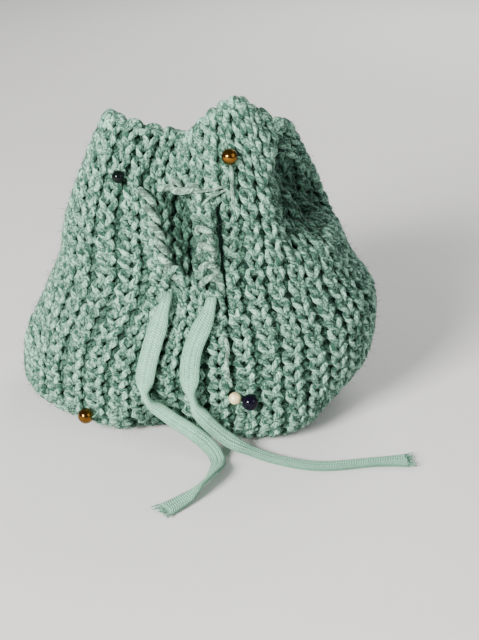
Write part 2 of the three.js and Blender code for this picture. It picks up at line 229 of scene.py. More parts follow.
# Shape of the wall
def along(column, at):
    """Smooth value of a section column at a rise, with no overshoot between its rows."""
    rises, values = SECTION["rise"], SECTION[column]
    span = np.diff(rises)
    steep = np.diff(values) / span
    same_way = steep[:-1] * steep[1:] > 0
    total = np.where(same_way, steep[:-1] + steep[1:], 1.0)
    mean = np.where(same_way, 2 * steep[:-1] * steep[1:] / total, 0.0)
    slope = np.concatenate([steep[:1], mean, steep[-1:]])
    k = np.clip(np.searchsorted(rises, at, side="right") - 1, 0, len(span) - 1)
    t = (at - rises[k]) / span[k]
    rest = 1 - t
    return (
        values[k] * (1 + 2 * t) * rest**2
        + slope[k] * span[k] * t * rest**2
        + values[k + 1] * t**2 * (3 - 2 * t)
        - slope[k + 1] * span[k] * t**2 * rest
    )


def around_rim(column, angle):
    """Value of a rim column at an angle: each lobe and valley is a turning point."""
    values = RIM[column]
    starts = RIM["angle"] - RIM["angle"][0]
    ends = np.append(starts[1:], 360.0)
    degrees = (np.degrees(angle) - RIM["angle"][0]) % 360
    k = np.searchsorted(starts, degrees, side="right") - 1
    t = (degrees - starts[k]) / (ends[k] - starts[k])
    return values[k] + (np.roll(values, -1)[k] - values[k]) * (1 - np.cos(math.pi * t)) / 2


def belly(angle, rise):
    own = angle - np.radians(along("turn", rise))
    wide = np.where(np.cos(own) < 0, along("left", rise), along("right", rise))
    deep = np.where(np.sin(own) < 0, along("front", rise), along("back", rise))
    reach = (
        np.abs(np.cos(own) / wide) ** SQUARENESS + np.abs(np.sin(own) / deep) ** SQUARENESS
    ) ** (-1 / SQUARENESS)
    return np.stack([reach * np.cos(angle), reach * np.sin(angle), along("z", rise)], axis=-1)


def fold_lift(point, folds):
    """How far folds push the wall in or out."""
    lift = np.zeros(point.shape[:-1])
    for side, top, top_z, foot, foot_z, half, height in folds:
        if side == "front":
            across, facing = point[..., 0], point[..., 1] < 0
        else:
            across, facing = point[..., 1], point[..., 0] > 0
        run = np.array([foot - top, foot_z - top_z])
        off = np.stack([across - top, point[..., 2] - top_z], axis=-1)
        t = np.clip(off @ run / (run @ run), 0, 1)
        share = np.linalg.norm(off - t[..., None] * run, axis=-1) / half
        lift += np.where(facing & (share < 1), height * (1 - np.minimum(share, 1) ** 2) ** 2, 0)
    return lift


def wall(angle, rise):
    """Outer face: rise -1 is the middle of the base, 0 its edge, 1 the drawstring, 2 the rim."""
    angle, rise = np.broadcast_arrays(np.asarray(angle, float), np.asarray(rise, float))
    low = belly(angle, np.clip(rise, 0, 1))
    reach = around_rim("reach", angle)
    rim = np.stack(
        [
            RIM_CENTRE[0] + reach * np.cos(angle),
            RIM_CENTRE[1] + reach * np.sin(angle),
            around_rim("height", angle),
        ],
        axis=-1,
    )
    climb = np.maximum(rise - 1, 0)
    inward = climb * (COLLAR_START + (1 - COLLAR_START) * climb)
    point = low + (rim - low) * np.stack([inward, inward, climb], axis=-1)
    near = (point[..., 2] - NECK_Z) / WAIST_HEIGHT
    push = fold_lift(point, FOLDS) - WAIST_PINCH * bell(near)
    point[..., 0] += np.cos(angle) * push
    point[..., 1] += np.sin(angle) * push
    point[..., :2] *= (1 + np.minimum(rise, 0))[..., None]
    return point


def wall_normal(angle, rise):
    angle, rise = np.broadcast_arrays(np.asarray(angle, float), np.asarray(rise, float))
    held = np.maximum(rise, 0)
    round_it = wall(angle + NUDGE, held) - wall(angle - NUDGE, held)
    up_it = wall(angle, held + NUDGE) - wall(angle, np.maximum(held - NUDGE, 0))
    square = unit(np.cross(round_it, up_it))
    return np.where(rise[..., None] < 0, np.array([0.0, 0.0, -1.0]), square)


def search(low, high, too_low):
    """The value between low and high at which too_low turns false."""
    for _ in range(SEARCH_STEPS):
        middle = (low + high) / 2
        low, high = (middle, high) if too_low(middle) else (low, middle)
    return low


def front_angle(x, rise):
    return search(math.pi, FULL_TURN, lambda angle: wall(angle, rise)[0] < x)


def rise_at(angle, z):
    return search(0.0, RIM_RISE, lambda rise: wall(angle, rise)[2] < z)


def front_spot(x, z):
    """Angle and rise of the front face at a place across it and a height."""
    rise = RIM_RISE / 4
    for _ in range(SPOT_ROUNDS):
        angle = front_angle(x, rise)
        rise = rise_at(angle, z)
    return angle, rise


class Gauge:
    """Turns ribs and rows of stitches into angles and rises of the wall."""

    SAMPLES = 720
    BASE_REACH = 0.040

    def __init__(self, ribs, rows):
        self.ribs, self.rows = ribs, rows
        self.turn = np.linspace(0, FULL_TURN, self.SAMPLES + 1)
        girth = belly(self.turn, np.full(self.SAMPLES + 1, EVEN_RISE))
        steps = np.linalg.norm(np.diff(girth, axis=0), axis=1)
        self.girth = np.concatenate([[0], np.cumsum(steps)]) / steps.sum()
        crease = np.interp(CREASE_ANGLE, self.turn, self.girth)
        self.shift = crease - (round(crease * ribs) + (KNIT_SHARE - 1) / 2) / ribs
        self.rises = np.linspace(0, RIM_RISE, 201)
        profile = wall(self.turn[:-1:12, None], self.rises[None, :])
        steps = np.linalg.norm(np.diff(profile, axis=1), axis=2).mean(axis=0)
        self.height = steps.sum()
        self.climbed = np.concatenate([[0], np.cumsum(steps)])
        self.row_height = self.height / rows

    def angle(self, share):
        """Angle at a share of the way round."""
        share = share + self.shift
        return FULL_TURN * np.floor(share) + np.interp(share % 1, self.girth, self.turn)

    def rise(self, row):
        """Rise at a row, on to the base below row 0 and past the rim above the last one."""
        climbed = row * self.row_height
        inside = np.interp(climbed, self.climbed, self.rises)
        over = np.maximum(climbed - self.height, 0) / (self.height / RIM_RISE)
        under = np.minimum(climbed, 0) / self.BASE_REACH
        return inside + over + under


# Meshes
class Strand:
    """A round yarn or thread along points, with the way out of the fabric at each."""

    def __init__(self, points, outward, radius, closed=False, bury=None):
        self.points = np.asarray(points, float)
        self.outward = np.asarray(outward, float)
        self.radius = np.broadcast_to(np.asarray(radius, float), len(self.points))
        self.closed = closed
        # Painted shade at each point, from 0 to 1
        self.bury = np.zeros(len(self.points)) if bury is None else bury

    def tangent(self):
        if self.closed:
            return unit(np.roll(self.points, -1, axis=0) - np.roll(self.points, 1, axis=0))
        return unit(np.gradient(self.points, axis=0))

    def rings(self, sides):
        """Vertices of the yarn's skin, ring by ring, and the length at each ring."""
        p = self.points
        tangent = self.tangent()
        side = unit(np.cross(tangent, self.outward))
        up = np.cross(side, tangent)
        theta = math.pi + FULL_TURN * np.arange(sides) / sides
        skin = np.cos(theta)[:, None] * up[:, None, :] + np.sin(theta)[:, None] * side[:, None, :]
        rings = p[:, None, :] + self.radius[:, None, None] * skin
        return rings, run_length(np.concatenate([p, p[:1]]) if self.closed else p)


STITCH_STEPS = 12
YARN_SIDES = 6
YARN_OFFSET = 137.3  # millimetres of yarn between the patterns of one strand and the next
OUTER_SIDE = 1.2  # how sharply a buried yarn's shade ends towards its inner side
CELL_SHAPE = 2.3  # rows of chunks to columns of them in the flat map
CELL_MARGIN = 0.04


def strands_mesh(name, strands, sides, chunk):
    """One mesh of many strands, with a map along each yarn and a flat map of all chunks."""
    verts, bury, corners, yarn_uv, cells, caps = [], [], [], [], [], []
    start = total = 0
    outer_side = np.clip(1 - OUTER_SIDE * np.cos(FULL_TURN * np.arange(sides) / sides), 0, 1)
    for number, strand in enumerate(strands):
        rings, length = strand.rings(sides)
        length = length / MM + number * YARN_OFFSET
        count = len(rings)
        quads = count if strand.closed else count - 1
        i = np.arange(quads)[:, None]
        j = np.arange(sides)[None, :]
        here, there = i * sides, ((i + 1) % count) * sides
        across = (j + 1) % sides
        corner = np.stack([here + j, here + across, there + across, there + j], axis=-1)
        corners.append(start + corner.reshape(-1, 4))
        s0 = np.broadcast_to(length[:-1, None], (quads, sides))
        s1 = np.broadcast_to(length[1:, None], (quads, sides))
        v0 = np.broadcast_to(j / sides, (quads, sides))
        v1 = v0 + 1 / sides
        yarn_uv.append(np.stack([s0, v0, s0, v1, s1, v1, s1, v0], axis=-1).reshape(-1, 4, 2))
        local = (i % chunk) / chunk + np.zeros((1, sides))
        cell = total + i // chunk + np.zeros((1, sides), int)
        total += math.ceil(quads / chunk)
        next_to = local + 1 / chunk
        chunk_uv = np.stack([local, v0, local, v1, next_to, v1, next_to, v0], axis=-1)
        cells.append((cell.reshape(-1), chunk_uv.reshape(-1, 4, 2)))
        if not strand.closed:
            caps.append(start + np.arange(sides)[::-1])
            caps.append(start + (count - 1) * sides + np.arange(sides))
        verts.append(rings.reshape(-1, 3))
        bury.append(np.outer(strand.bury, outer_side).ravel())
        start += count * sides
    wide = max(1, round(math.sqrt(total / CELL_SHAPE)))
    tall = math.ceil(total / wide)
    flat_uv = []
    for cell, local in cells:
        place = np.stack([cell % wide, cell // wide], axis=-1)[:, None, :]
        flat_uv.append((place + CELL_MARGIN + (1 - 2 * CELL_MARGIN) * local) / (wide, tall))
    quads = np.concatenate(corners)
    loops = [quads.reshape(-1)] + caps
    starts = np.concatenate([4 * np.arange(len(quads)), 4 * len(quads) + sides * np.arange(len(caps))])
    mesh = bpy.data.meshes.new(name)
    points = np.concatenate(verts)
    corner_list = np.concatenate(loops).astype(np.int32)
    mesh.vertices.add(len(points))
    mesh.vertices.foreach_set("co", points.astype(np.float32).ravel())
    mesh.loops.add(len(corner_list))
    mesh.loops.foreach_set("vertex_index", corner_list)
    mesh.polygons.add(len(starts))
    mesh.polygons.foreach_set("loop_start", starts.astype(np.int32))
    mesh.update(calc_edges=True)
    cap_uv = np.zeros((len(corner_list) - 4 * len(quads), 2))
    for layer_name, uv in (("Yarn", yarn_uv), ("OFBake", flat_uv)):
        layer = mesh.uv_layers.new(name=layer_name)
        flat = np.concatenate([np.concatenate(uv).reshape(-1, 2), cap_uv])
        layer.data.foreach_set("uv", flat.astype(np.float32).ravel())
    # Point attribute of painted shade, on the outer side of each yarn
    depth = mesh.attributes.new("bury", "FLOAT", "POINT")
    depth.data.foreach_set("value", np.concatenate(bury).astype(np.float32))
    mesh.validate()
    mesh.shade_smooth()
    return mesh


def add_piece(name, mesh, material):
    """A finished piece that moves with the pouch."""
    piece = bpy.data.objects.new(name, mesh)
    bpy.context.scene.collection.objects.link(piece)
    mesh.materials.clear()
    mesh.materials.append(material)
    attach(piece, "root")
    return piece


def yarn_piece(name, strands, material, sides=YARN_SIDES, chunk=STITCH_STEPS):
    return add_piece(name, strands_mesh(name, strands, sides, chunk), material)


def mesh_of(name, shape):
    """The mesh of a finished bmesh, which is freed."""
    mesh = bpy.data.meshes.new(name)
    shape.to_mesh(mesh)
    shape.free()
    mesh.shade_smooth()
    return mesh


# Materials
class Nodes:
    """Adds nodes to a material, with each input given as a value or another node's output."""

    def __init__(self, name):
        self.material = bpy.data.materials.new(name)
        self.material.use_nodes = True
        self.tree = self.material.node_tree
        self.tree.nodes.clear()

    def add(self, kind, inputs=(), **settings):
        made = self.tree.nodes.new(kind)
        for key, value in settings.items():
            setattr(made, key, value)
        for key, value in dict(inputs).items():
            if isinstance(value, bpy.types.NodeSocket):
                self.tree.links.new(value, made.inputs[key])
            else:
                made.inputs[key].default_value = value
        return made

    def math(self, operation, *values):
        return self.add("ShaderNodeMath", enumerate(values), operation=operation).outputs[0]

    def total(self, *parts):
        """Sum of values, each times its share."""
        first, *others = (self.math("MULTIPLY", value, share) for value, share in parts)
        for other in others:
            first = self.math("ADD", first, other)
        return first

    def arches(self, value):
        """Rounded ridges, one for each whole step of a value."""
        return self.math("ABSOLUTE", self.math("SINE", self.math("MULTIPLY", value, math.pi)))

    def own_place(self):
        return self.add("ShaderNodeTexCoord").outputs["Object"]

    def own_map(self, name):
        """Both values of one of the piece's maps."""
        spot = self.add("ShaderNodeUVMap", uv_map=name).outputs[0]
        return self.add("ShaderNodeSeparateXYZ", {0: spot}).outputs[:2]

    def tint(self, colour, by, share=1.0):
        """A colour darkened by another."""
        inputs = {0: share, 6: colour, 7: by}
        return self.add("ShaderNodeMix", inputs, data_type="RGBA", blend_type="MULTIPLY").outputs[2]

    def bump(self, height, strength, distance):
        inputs = {"Height": height, "Strength": strength, "Distance": distance}
        return self.add("ShaderNodeBump", inputs).outputs[0]

    def ramp(self, share, stops):
        made = self.add("ShaderNodeValToRGB", {"Fac": share})
        elements = made.color_ramp.elements
        while len(elements) < len(stops):
            elements.new(0.5)
        for element, (place, colour) in zip(elements, stops):
            element.position = place
            element.color = (*colour, 1.0)
        return made.outputs["Color"]

    def noise(self, vector, scale, detail, rough=0.6):
        inputs = {"Vector": vector, "Scale": scale, "Detail": detail, "Roughness": rough}
        return self.add("ShaderNodeTexNoise", inputs).outputs["Fac"]

    def finish(self, colour, normal=None, **values):
        shader = self.add("ShaderNodeBsdfPrincipled", {"Base Color": colour})
        if normal is not None:
            self.tree.links.new(normal, shader.inputs["Normal"])
        for key, value in values.items():
            shader.inputs[key.replace("_", " ")].default_value = value
        output = self.add("ShaderNodeOutputMaterial")
        self.tree.links.new(shader.outputs[0], output.inputs[0])
        return self.material


def shade(colour, amount):
    return tuple(min(1.0, channel * amount) for channel in colour)


WHITE = (1.0, 1.0, 1.0)
PLIES = 3
PLY_STEP = 2.0  # millimetres of yarn between one ply and the next
TAPE_STITCH_ROWS = 20.0  # rows of stitches round the tape, both faces
TAPE_STITCH = 0.75  # millimetres
FLECK_SCALE, CLOUD_SCALE, GROUND_SCALE = 1300.0, 160.0, 900.0  # of patterns in metres


def yarn_material(name, light, dark):
    """Soft plied wool: mottled fibres along it, plies wound round it, with painted shade in the grooves
    between its plies and where it lies deep in the fabric, in a fold and in the valley behind the right
    lobe.
    """
    nodes = Nodes(name)
    length, turn = nodes.own_map("Yarn")
    wound = nodes.math("DIVIDE", length, PLY_STEP)
    wind = nodes.math("ADD", wound, nodes.math("MULTIPLY", turn, float(PLIES)))
    ply = nodes.arches(wind)
    lag = nodes.math("DIVIDE", length, PLY_STEP * PLIES)
    angle = nodes.math("MULTIPLY", nodes.math("ADD", turn, lag), FULL_TURN)
    round_it = {1: nodes.math("COSINE", angle), 2: nodes.math("SINE", angle)}
    run = {0: nodes.math("MULTIPLY", length, 0.35)}
    skin = nodes.add("ShaderNodeCombineXYZ", {**run, **round_it}).outputs[0]
    strand = nodes.math("MODULO", nodes.math("FLOOR", nodes.math("ADD", wind, 0.5)), float(PLIES))
    own = nodes.math("DIVIDE", nodes.math("ABSOLUTE", strand), PLIES - 1.0)
    mottle = nodes.noise(skin, 1.6, 3.0)
    fibre = nodes.noise(skin, 7.0, 2.0)
    place = nodes.own_place()
    fleck = nodes.noise(place, FLECK_SCALE, 2.0)
    cloud = nodes.noise(place, CLOUD_SCALE, 3.0)
    uneven = nodes.math("SUBTRACT", own, 0.5)
    tone = nodes.total((mottle, 0.40), (fibre, 0.22), (fleck, 0.38), (uneven, 0.10))
    middle = tuple(0.45 * a + 0.55 * b for a, b in zip(light, dark))
    colour = nodes.ramp(tone, ((0.45, dark), (0.52, middle), (0.595, light)))
    colour = nodes.tint(colour, nodes.ramp(cloud, ((0.35, (0.70, 0.76, 0.74)), (0.65, WHITE))))
    # Painted shade in the grooves between the plies
    groove_shade = nodes.ramp(ply, ((0.0, (0.55, 0.58, 0.57)), (0.45, WHITE)))
    colour = nodes.tint(colour, groove_shade, 0.5)
    # Painted shade: yarn darkens with its depth in the fabric, the depth of its fold and the valley
    # behind the right lobe
    bury = nodes.add("ShaderNodeAttribute", attribute_name="bury").outputs["Fac"]
    colour = nodes.tint(colour, nodes.ramp(bury, ((0.1, WHITE), (0.65, (0.22, 0.30, 0.27)))))
    relief = nodes.total((fibre, 0.6), (fleck, 0.8), (ply, 0.7))
    return nodes.finish(
        colour,
        nodes.bump(relief, 0.8, 0.35 * MM),
        Roughness=0.92,
        Specular_IOR_Level=0.25,
        Sheen_Weight=0.12,
        Sheen_Roughness=0.45,
        Sheen_Tint=(0.85, 1.0, 0.93, 1.0),
    )


def ground_material(name, colour):
    """Painted shade of the depth of the fabric between its yarns, or the inner face's own colour."""
    nodes = Nodes(name)
    fibre = nodes.noise(nodes.own_place(), GROUND_SCALE, 3.0)
    tone = nodes.ramp(fibre, ((0.35, shade(colour, 0.6)), (0.65, colour)))
    bump = nodes.bump(fibre, 0.6, 0.4 * MM)
    return nodes.finish(tone, bump, Roughness=0.95, Specular_IOR_Level=0.15)


def tape_material(colour):
    """Flat braid: rows of small stitches along it, each row half a stitch past its neighbour, with
    painted shade in the dips between its stitches and along its two edges.
    """
    nodes = Nodes("tape_braid")
    across, length = nodes.own_map("Tape")
    rows = nodes.math("MULTIPLY", across, TAPE_STITCH_ROWS)
    half = nodes.math("MULTIPLY", nodes.math("MODULO", nodes.math("FLOOR", rows), 2.0), 0.5)
    slant = nodes.math("MULTIPLY", nodes.math("FRACT", rows), 0.35)
    phase = nodes.math("DIVIDE", length, TAPE_STITCH)
    phase = nodes.math("ADD", phase, nodes.math("ADD", half, slant))
    stitch = nodes.math("MULTIPLY", nodes.arches(rows), nodes.arches(phase))
    place = nodes.own_place()
    fibre = nodes.noise(place, 2200.0, 2.0, 0.7)
    cloud = nodes.noise(place, 300.0, 3.0)
    # Painted shade in the dips between the stitches, with the fibres' own uneven tone
    tone = nodes.total((stitch, 0.42), (fibre, 0.85))
    shades = ((0.28, 0.40), (0.52, 0.85), (0.85, 1.25))
    shown = nodes.ramp(tone, [(spot, shade(colour, amount)) for spot, amount in shades])
    shown = nodes.tint(shown, nodes.ramp(cloud, ((0.3, (0.78, 0.82, 0.80)), (0.7, WHITE))))
    # Painted shade along the tape's two edges
    edge_shade = nodes.math("ABSOLUTE", nodes.math("COSINE", nodes.math("MULTIPLY", across, FULL_TURN)))
    shown = nodes.tint(shown, nodes.ramp(edge_shade, ((0.90, WHITE), (1.0, (0.55, 0.62, 0.58)))))
    return nodes.finish(
        shown,
        nodes.bump(nodes.total((stitch, 1.0), (fibre, 0.6)), 1.0, 0.3 * MM),
        Roughness=0.88,
        Specular_IOR_Level=0.25,
        Sheen_Weight=0.15,
        Sheen_Roughness=0.4,
    )


def bead_material(name, colour, metallic, roughness, specular):
    """Polished bead with a faint clouding and worn patches."""
    nodes = Nodes(name)
    cloud = nodes.noise(nodes.own_place(), GROUND_SCALE, 3.0)
    tone = nodes.ramp(cloud, ((0.35, shade(colour, 0.72)), (0.65, shade(colour, 1.15))))
    looks = {"Metallic": metallic, "Roughness": roughness, "Specular_IOR_Level": specular}
    return nodes.finish(tone, nodes.bump(cloud, 0.08, 0.1 * MM), **looks)


# Settings
def colour_setting(name, description, default):
    return bpy.props.FloatVectorProperty(
        name=name, description=description, subtype="COLOR", size=3, min=0.0, max=1.0, default=default
    )


def length_setting(name, description, default):
    return bpy.props.FloatProperty(
        name=name, description=description, default=default, min=0.0, unit="LENGTH", precision=5
    )


class PouchKnitSettings(bpy.types.PropertyGroup):
    """Sizes and colours of the knitted wall."""

    ribs: bpy.props.IntProperty(
        name="Ribs", description="Ribs round the belly", default=41, min=20, max=60
    )
    rows: bpy.props.IntProperty(
        name="Rows", description="Rows of stitches from base to rim", default=25, min=12, max=40
    )
    yarn: length_setting("Yarn", "Thickness of the yarn", 0.0022)
    depth: length_setting("Loop depth", "How far a loop swings in and out of the fabric", 0.00055)
    rib_depth: length_setting("Rib depth", "How far the knit columns stand proud", 0.00105)
    light: colour_setting("Light yarn", "Light fibres of the mottled yarn", (0.43, 0.74, 0.57))
    dark: colour_setting("Dark yarn", "Dark fibres of the mottled yarn", (0.030, 0.098, 0.065))
    # Colour of the lighter yarn; on the drawn-up stitches its paleness is painted light
    strand: colour_setting("Pale strand", "Loose pale strands on the front", (0.45, 0.73, 0.56))
    # Painted shade: near-black colour of the sheet seen in the gaps between the yarns
    ground: colour_setting("Ground", "Depth of the fabric between the yarns", (0.016, 0.045, 0.034))
    inside: colour_setting("Inside", "Inner face of the fabric", (0.30, 0.54, 0.41))


class PouchTapeSettings(bpy.types.PropertyGroup):
    """Sizes and colour of the drawstring tape."""

    width: length_setting("Width", "Width of the tape", 0.006)
    thick: length_setting("Thickness", "Thickness of the tape", 0.0014)
    flare: length_setting("Flare", "How much the cut ends spread", 0.0014)
    colour: colour_setting("Colour", "Colour of the braid", (0.29, 0.60, 0.425))


class PouchBeadSettings(bpy.types.PropertyGroup):
    """Colours of the sewn beads."""

    gold: colour_setting("Gold", "Gilt beads", (0.19, 0.088, 0.017))
    cream: colour_setting("Cream", "Pearly bead", (0.80, 0.68, 0.38))
    dark_green: colour_setting("Dark green", "Upper dark bead", (0.002, 0.005, 0.004))
    dark_purple: colour_setting("Dark purple", "Lower dark bead", (0.003, 0.002, 0.008))
    thread: length_setting("Thread", "Thickness of the sewing thread", 0.0005)


class PouchStageSettings(bpy.types.PropertyGroup):
    """Floor, light and camera."""

    floor: colour_setting("Floor", "Colour of the floor", (0.80, 0.79, 0.77))
    aim: bpy.props.FloatVectorProperty(
        name="Aim",
        description="Point that the camera looks at",
        subtype="XYZ",
        default=(0.0126, -0.020, 0.032),
    )
    elevation: bpy.props.FloatProperty(
        name="Elevation", description="Height of the view", subtype="ANGLE", default=math.radians(24)
    )
    distance: length_setting("Distance", "From the camera to its aim", 0.380)
    lens: bpy.props.FloatProperty(name="Lens", description="Focal length in millimetres", default=66.8)


# Knit
KNIT_SHARE = 0.70  # of a rib's width, the rest is its purl column
LOOP_HALF = 0.72  # half a loop's height, in rows
LEAN = 0.34  # how far the legs lean, in columns
FIRST_ROW = 0.25
CREASE_ANGLE = math.radians(282.6)  # a purl column runs down the crease beside the right tape
GATHER_ANGLE = math.radians(240)
GATHER_SPREAD = math.radians(19)
GATHER_PULL = math.radians(13)
GATHER_MIDDLE = 1.05
GATHER_RISE = 0.36
PARTING_HALF = math.radians(1.75)  # from the crease to the middle of the yarn beside it
PARTING_CLOSE = math.radians(3.0)  # how far the ribs beside the crease are drawn together
PARTING_SPREAD = math.radians(9)
PARTING_SINK = 0.0022
PARTING_MIDDLE = 1.19
PARTING_RISE = 0.33
VALLEY_SPREAD = math.radians(4)
VALLEY_RISE = 0.12
VALLEY_SHADE = 0.75
FOLD_SHADE = 0.012  # depth of a fold at which its yarn would be wholly shaded
FOLD_SHADE_MOST = 0.5
# How far the columns wander, in ribs, and their waves up each row and round the pouch
WANDER = ((0.05, 0.8, 25), (0.04, 0.45, -8))
UNEVEN = {"across": 0.05, "up": 0.08, "out": 0.00018, "width": 0.09}


def gathered(angle, rise):
    """How far the ribs left of the tapes are drawn towards them."""
    beside = (angle % FULL_TURN - GATHER_ANGLE) / GATHER_SPREAD
    return GATHER_PULL * bell(beside) * bell((rise - GATHER_MIDDLE) / GATHER_RISE)


def parted(angle, rise):
    """How far the crease beside the right tape pushes yarn aside, and sinks what crosses it."""
    share = bell(((rise - PARTING_MIDDLE) / PARTING_RISE) ** 3)
    off = angle % FULL_TURN - np.radians(np.interp(rise, PARTING["rise"], PARTING["angle"]))
    closed = PARTING_CLOSE * share * bell(off / PARTING_SPREAD)
    beside = np.hypot(np.maximum(np.abs(off) - closed, 0), PARTING_HALF * share)
    aside = np.sign(off) * beside - off
    return aside, PARTING_SINK * share * bell(off / PARTING_HALF)


def valley_shade(angle, rise):
    """Shade between the right lobe of the front and the ear behind it."""
    line = np.radians(np.interp(rise, VALLEY["rise"], VALLEY["angle"]))
    off = (angle - line + math.pi) % FULL_TURN - math.pi
    above = np.clip((rise - VALLEY["rise"][0]) / VALLEY_RISE, 0, 1)
    return VALLEY_SHADE * above * bell(off / VALLEY_SPREAD)


def smooth_random(rng, columns, steps):
    """A seeded value for each stitch of a round, eased from one to the next."""
    values = rng.uniform(-1, 1, columns)
    t = np.arange(steps) / steps
    ease = (1 - np.cos(math.pi * t)) / 2
    return (values[:, None] * (1 - ease) + np.roll(values, -1)[:, None] * ease).ravel()


def course(settings, gauge, row, ribs, rng):
    """One round of one-by-one rib: knit loops stand out, purl loops lie behind them."""
    steps = STITCH_STEPS
    place = np.arange(2 * ribs * steps) / steps
    column = np.floor(place)
    u = place - column
    t = FULL_TURN * u
    knit = column % 2 == 0
    share = np.where(knit, KNIT_SHARE, 1 - KNIT_SHARE)
    start = np.floor(column / 2) + np.where(knit, 0, KNIT_SHARE)
    wobble = {key: size * smooth_random(rng, 2 * ribs, steps) for key, size in UNEVEN.items()}
    across = start + share * (u + LEAN * np.sin(2 * t)) + wobble["across"]
    up = row - LOOP_HALF * np.cos(t) + wobble["up"]
    swing = np.where(knit, 1, -1) * np.sin(math.pi * u)
    out = swing * (settings.rib_depth - settings.depth * np.cos(2 * t)) + wobble["out"]
    for size, climb, waves in WANDER:
        across += size * np.sin(climb * row + waves * FULL_TURN * place / (2 * ribs))
    rise = gauge.rise(up)
    angle = gauge.angle(across / ribs)
    angle += gathered(angle, rise)
    aside, sunk = parted(angle, rise)
    angle += aside
    normal = wall_normal(angle, rise)
    face = wall(angle, rise)
    out = out + fold_lift(face, SINKS) - sunk
    points = face + (out - WALL / 2)[:, None] * normal
    radius = settings.yarn / 2 * (1 + wobble["width"])
    points[:, 2] = np.maximum(points[:, 2], radius)
    reach = settings.rib_depth + settings.depth
    # Painted shade of each point, from its depth in the fabric, its fold and the valley behind the right
    # lobe
    folded = np.clip(-fold_lift(face, FOLDS) / FOLD_SHADE, 0, FOLD_SHADE_MOST)
    bury = np.clip((reach - out) / (2 * reach) + folded + valley_shade(angle, rise), 0, 1)
    return Strand(points, normal, radius, closed=True, bury=bury)


class POUCH_OT_knit_ground(bpy.types.Operator):
    """Make the thin sheet that fills the depth of the fabric: its near-black outer face is painted shade
    between the yarns, its inner face has the fabric's own colour, and it keeps the gaps from being seen
    through
    """

    bl_idname = "pouch.knit_ground"
    bl_label = "Knit ground"

    ROUND = 160
    UP = 70
    THICK = 0.0005
    LOWEST = -0.98  # rise of the small hole that is filled in the middle of the base
    BELOW_RIM = 0.03

    def execute(self, context):
        settings = context.scene.pouch_knit
        shape = bmesh.new()
        bmesh.ops.create_grid(shape, x_segments=self.ROUND, y_segments=self.UP, size=0.5)
        grid = np.array([vertex.co for vertex in shape.verts])
        angle = FULL_TURN * (grid[:, 0] + 0.5)
        rise = self.LOWEST + (grid[:, 1] + 0.5) * (RIM_RISE - self.BELOW_RIM - self.LOWEST)
        depth = WALL / 2 + self.THICK
        points = wall(angle, rise) - depth * wall_normal(angle, rise)
        for vertex, point in zip(shape.verts, points):
            vertex.co = point
        bmesh.ops.remove_doubles(shape, verts=shape.verts, dist=0.05 * MM)
        hole = [e for e in shape.edges if e.is_boundary and e.verts[0].co.z < NECK_Z]
        bmesh.ops.holes_fill(shape, edges=hole, sides=0)
        bmesh.ops.recalc_face_normals(shape, faces=shape.faces)
        # The outer face is painted shade between the yarns; the inner face has the fabric's own colour
        outer = ground_material("knit_ground", settings.ground)
        ground = add_piece("knit_ground", mesh_of("knit_ground", shape), outer)
        ground.data.materials.append(ground_material("knit_inside", settings.inside))
        thick = ground.modifiers.new("thickness", "SOLIDIFY")
        thick.material_offset = 1
        thick.thickness = self.THICK
        thick.offset = 0.0
        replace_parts(ground, "pouch_body")
        return {"FINISHED"}


# First row and the row after the last of each band of the wall
BANDS = {
    "knit_belly_low": (0, 7),
    "knit_belly_high": (7, 13),
    "knit_collar_low": (13, 19),
    "knit_collar_high": (19, 25),
}


def wall_rounds(settings):
    """All rounds of the wall, from the base's edge to the rim."""
    gauge = Gauge(settings.ribs, settings.rows)
    rng = np.random.default_rng(SEED)
    rows = range(settings.rows)
    return [course(settings, gauge, row + FIRST_ROW, settings.ribs, rng) for row in rows]


class POUCH_OT_knit_wall(bpy.types.Operator):
    """Knit the wall, round by round, in bands"""

    bl_idname = "pouch.knit_wall"
    bl_label = "Knit wall"

    def execute(self, context):
        settings = context.scene.pouch_knit
        rounds = wall_rounds(settings)
        yarn = yarn_material("knit_yarn", tuple(settings.light), tuple(settings.dark))
        for name, (first, last) in BANDS.items():
            yarn_piece(name, rounds[first:last], yarn)
        return {"FINISHED"}


class POUCH_OT_knit_base(bpy.types.Operator):
    """Knit the closed base in shrinking rounds"""

    bl_idname = "pouch.knit_base"
    bl_label = "Knit base"

    FEWEST = 4  # ribs of the smallest round

    def execute(self, context):
        settings = context.scene.pouch_knit
        gauge = Gauge(settings.ribs, settings.rows)
        rng = np.random.default_rng(SEED + 1)
        rounds = []
        last = int(Gauge.BASE_REACH / gauge.row_height)
        for row in range(1, last + 1):
            ribs = max(self.FEWEST, round(settings.ribs * (1 - row / (last + 1))))
            rounds.append(course(settings, gauge, FIRST_ROW - row, ribs, rng))
        yarn_piece("knit_base", rounds, bpy.data.materials["knit_yarn"])
        return {"FINISHED"}


